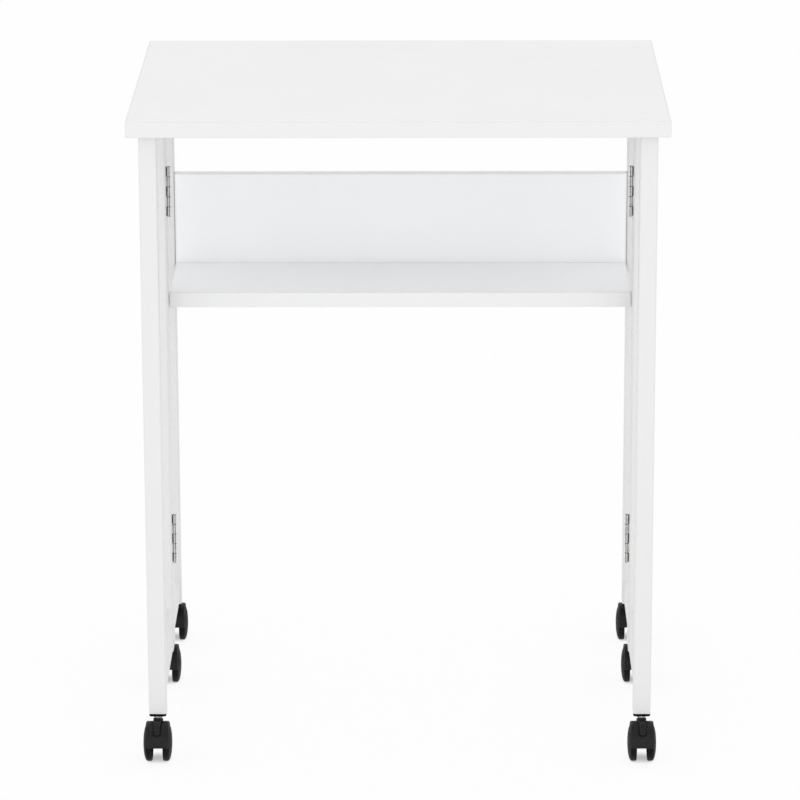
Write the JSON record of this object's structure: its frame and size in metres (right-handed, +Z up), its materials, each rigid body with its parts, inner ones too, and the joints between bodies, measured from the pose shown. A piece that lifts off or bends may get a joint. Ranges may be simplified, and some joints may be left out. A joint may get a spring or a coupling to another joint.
{
  "type": "folding desk on casters",
  "caption": "Compact white desk with a rear shelf unit, hinged gate legs that fold inwards, a flip-up top and braked twin-wheel casters.",
  "frame": {"origin": "centre of the desk's footprint box, on the floor", "axes": "+Z up, -Y towards the person at the desk, +X to that person's right"},
  "size_m": [0.6, 0.4696, 0.75],
  "materials": {
    "white_laminate": "white satin laminate on particle board",
    "white_powder_coat": "white satin powder coat on steel tube",
    "plated_steel": "nickel-plated steel",
    "black_plastic": "black moulded plastic, fine texture",
    "black_tread": "black moulded wheel"
  },
  "bodies": {
    "rear_frame": {"left_rear_frame": "white_powder_coat", "right_rear_frame": "white_powder_coat", "rear_top_rail": "white_powder_coat", "shelf": "white_laminate", "back_panel": "white_laminate", "left_upper_hinge_frame_leaf": "plated_steel", "left_lower_hinge_frame_leaf": "plated_steel", "right_upper_hinge_frame_leaf": "plated_steel", "right_lower_hinge_frame_leaf": "plated_steel", "left_top_hinge_rail_leaf": "plated_steel", "right_top_hinge_rail_leaf": "plated_steel", "left_middle_caster_insert": "black_plastic", "left_rear_caster_insert": "black_plastic", "right_middle_caster_insert": "black_plastic", "right_rear_caster_insert": "black_plastic"},
    "top": {"tabletop": "white_laminate", "left_top_hinge_top_leaf": "plated_steel", "right_top_hinge_top_leaf": "plated_steel"},
    "left_gate": {"left_gate_frame": "white_powder_coat", "left_upper_hinge_gate_leaf": "plated_steel", "left_lower_hinge_gate_leaf": "plated_steel", "left_front_caster_insert": "black_plastic"},
    "right_gate": {"right_gate_frame": "white_powder_coat", "right_upper_hinge_gate_leaf": "plated_steel", "right_lower_hinge_gate_leaf": "plated_steel", "right_front_caster_insert": "black_plastic"},
    "left_front_caster": {"left_front_caster_stem": "plated_steel", "left_front_caster_hood": "black_plastic", "left_front_caster_axle": "plated_steel"},
    "left_front_left_wheel": {"left_front_caster_left_wheel": "black_tread"},
    "left_front_right_wheel": {"left_front_caster_right_wheel": "black_tread"},
    "left_front_brake": {"left_front_caster_brake_pedal": "black_plastic"},
    "left_middle_caster": {"left_middle_caster_stem": "plated_steel", "left_middle_caster_hood": "black_plastic", "left_middle_caster_axle": "plated_steel"},
    "left_middle_left_wheel": {"left_middle_caster_left_wheel": "black_tread"},
    "left_middle_right_wheel": {"left_middle_caster_right_wheel": "black_tread"},
    "left_rear_caster": {"left_rear_caster_stem": "plated_steel", "left_rear_caster_hood": "black_plastic", "left_rear_caster_axle": "plated_steel"},
    "left_rear_left_wheel": {"left_rear_caster_left_wheel": "black_tread"},
    "left_rear_right_wheel": {"left_rear_caster_right_wheel": "black_tread"},
    "right_front_caster": {"right_front_caster_stem": "plated_steel", "right_front_caster_hood": "black_plastic", "right_front_caster_axle": "plated_steel"},
    "right_front_left_wheel": {"right_front_caster_left_wheel": "black_tread"},
    "right_front_right_wheel": {"right_front_caster_right_wheel": "black_tread"},
    "right_front_brake": {"right_front_caster_brake_pedal": "black_plastic"},
    "right_middle_caster": {"right_middle_caster_stem": "plated_steel", "right_middle_caster_hood": "black_plastic", "right_middle_caster_axle": "plated_steel"},
    "right_middle_left_wheel": {"right_middle_caster_left_wheel": "black_tread"},
    "right_middle_right_wheel": {"right_middle_caster_right_wheel": "black_tread"},
    "right_rear_caster": {"right_rear_caster_stem": "plated_steel", "right_rear_caster_hood": "black_plastic", "right_rear_caster_axle": "plated_steel"},
    "right_rear_left_wheel": {"right_rear_caster_left_wheel": "black_tread"},
    "right_rear_right_wheel": {"right_rear_caster_right_wheel": "black_tread"}
  },
  "joints": [
    {"name": "top_flip", "type": "hinge", "parent": "rear_frame", "child": "top", "pos_m": [0, 0.20855, 0.72895], "axis": [-1, 0, 0], "range_deg": [0, 90]},
    {"name": "left_gate_fold", "type": "hinge", "parent": "rear_frame", "child": "left_gate", "pos_m": [-0.26795, 0.02935, 0.4], "axis": [0, 0, 1], "range_deg": [0, 90]},
    {"name": "right_gate_fold", "type": "hinge", "parent": "rear_frame", "child": "right_gate", "pos_m": [0.26795, 0.02935, 0.4], "axis": [0, 0, -1], "range_deg": [0, 90]},
    {"name": "left_front_swivel", "type": "hinge", "parent": "left_gate", "child": "left_front_caster", "pos_m": [-0.277, -0.1955, 0.05], "axis": [0, 0, 1], "continuous": true},
    {"name": "left_front_left_roll", "type": "hinge", "parent": "left_front_caster", "child": "left_front_left_wheel", "pos_m": [-0.277, -0.2105, 0.0215], "axis": [1, 0, 0], "continuous": true},
    {"name": "left_front_right_roll", "type": "hinge", "parent": "left_front_caster", "child": "left_front_right_wheel", "pos_m": [-0.277, -0.2105, 0.0215], "axis": [1, 0, 0], "continuous": true},
    {"name": "left_front_brake_lift", "type": "hinge", "parent": "left_front_caster", "child": "left_front_brake", "pos_m": [-0.277, -0.207, 0.0477], "axis": [-1, 0, 0], "range_deg": [0, 20]},
    {"name": "left_middle_swivel", "type": "hinge", "parent": "rear_frame", "child": "left_middle_caster", "pos_m": [-0.281, 0.041, 0.05], "axis": [0, 0, 1], "continuous": true},
    {"name": "left_middle_left_roll", "type": "hinge", "parent": "left_middle_caster", "child": "left_middle_left_wheel", "pos_m": [-0.281, 0.056, 0.0215], "axis": [1, 0, 0], "continuous": true},
    {"name": "left_middle_right_roll", "type": "hinge", "parent": "left_middle_caster", "child": "left_middle_right_wheel", "pos_m": [-0.281, 0.056, 0.0215], "axis": [1, 0, 0], "continuous": true},
    {"name": "left_rear_swivel", "type": "hinge", "parent": "rear_frame", "child": "left_rear_caster", "pos_m": [-0.281, 0.1955, 0.05], "axis": [0, 0, 1], "continuous": true},
    {"name": "left_rear_left_roll", "type": "hinge", "parent": "left_rear_caster", "child": "left_rear_left_wheel", "pos_m": [-0.281, 0.2105, 0.0215], "axis": [1, 0, 0], "continuous": true},
    {"name": "left_rear_right_roll", "type": "hinge", "parent": "left_rear_caster", "child": "left_rear_right_wheel", "pos_m": [-0.281, 0.2105, 0.0215], "axis": [1, 0, 0], "continuous": true},
    {"name": "right_front_swivel", "type": "hinge", "parent": "right_gate", "child": "right_front_caster", "pos_m": [0.277, -0.1955, 0.05], "axis": [0, 0, 1], "continuous": true},
    {"name": "right_front_left_roll", "type": "hinge", "parent": "right_front_caster", "child": "right_front_left_wheel", "pos_m": [0.277, -0.2105, 0.0215], "axis": [1, 0, 0], "continuous": true},
    {"name": "right_front_right_roll", "type": "hinge", "parent": "right_front_caster", "child": "right_front_right_wheel", "pos_m": [0.277, -0.2105, 0.0215], "axis": [1, 0, 0], "continuous": true},
    {"name": "right_front_brake_lift", "type": "hinge", "parent": "right_front_caster", "child": "right_front_brake", "pos_m": [0.277, -0.207, 0.0477], "axis": [-1, 0, 0], "range_deg": [0, 20]},
    {"name": "right_middle_swivel", "type": "hinge", "parent": "rear_frame", "child": "right_middle_caster", "pos_m": [0.281, 0.041, 0.05], "axis": [0, 0, 1], "continuous": true},
    {"name": "right_middle_left_roll", "type": "hinge", "parent": "right_middle_caster", "child": "right_middle_left_wheel", "pos_m": [0.281, 0.056, 0.0215], "axis": [1, 0, 0], "continuous": true},
    {"name": "right_middle_right_roll", "type": "hinge", "parent": "right_middle_caster", "child": "right_middle_right_wheel", "pos_m": [0.281, 0.056, 0.0215], "axis": [1, 0, 0], "continuous": true},
    {"name": "right_rear_swivel", "type": "hinge", "parent": "rear_frame", "child": "right_rear_caster", "pos_m": [0.281, 0.1955, 0.05], "axis": [0, 0, 1], "continuous": true},
    {"name": "right_rear_left_roll", "type": "hinge", "parent": "right_rear_caster", "child": "right_rear_left_wheel", "pos_m": [0.281, 0.2105, 0.0215], "axis": [1, 0, 0], "continuous": true},
    {"name": "right_rear_right_roll", "type": "hinge", "parent": "right_rear_caster", "child": "right_rear_right_wheel", "pos_m": [0.281, 0.2105, 0.0215], "axis": [1, 0, 0], "continuous": true}
  ]
}
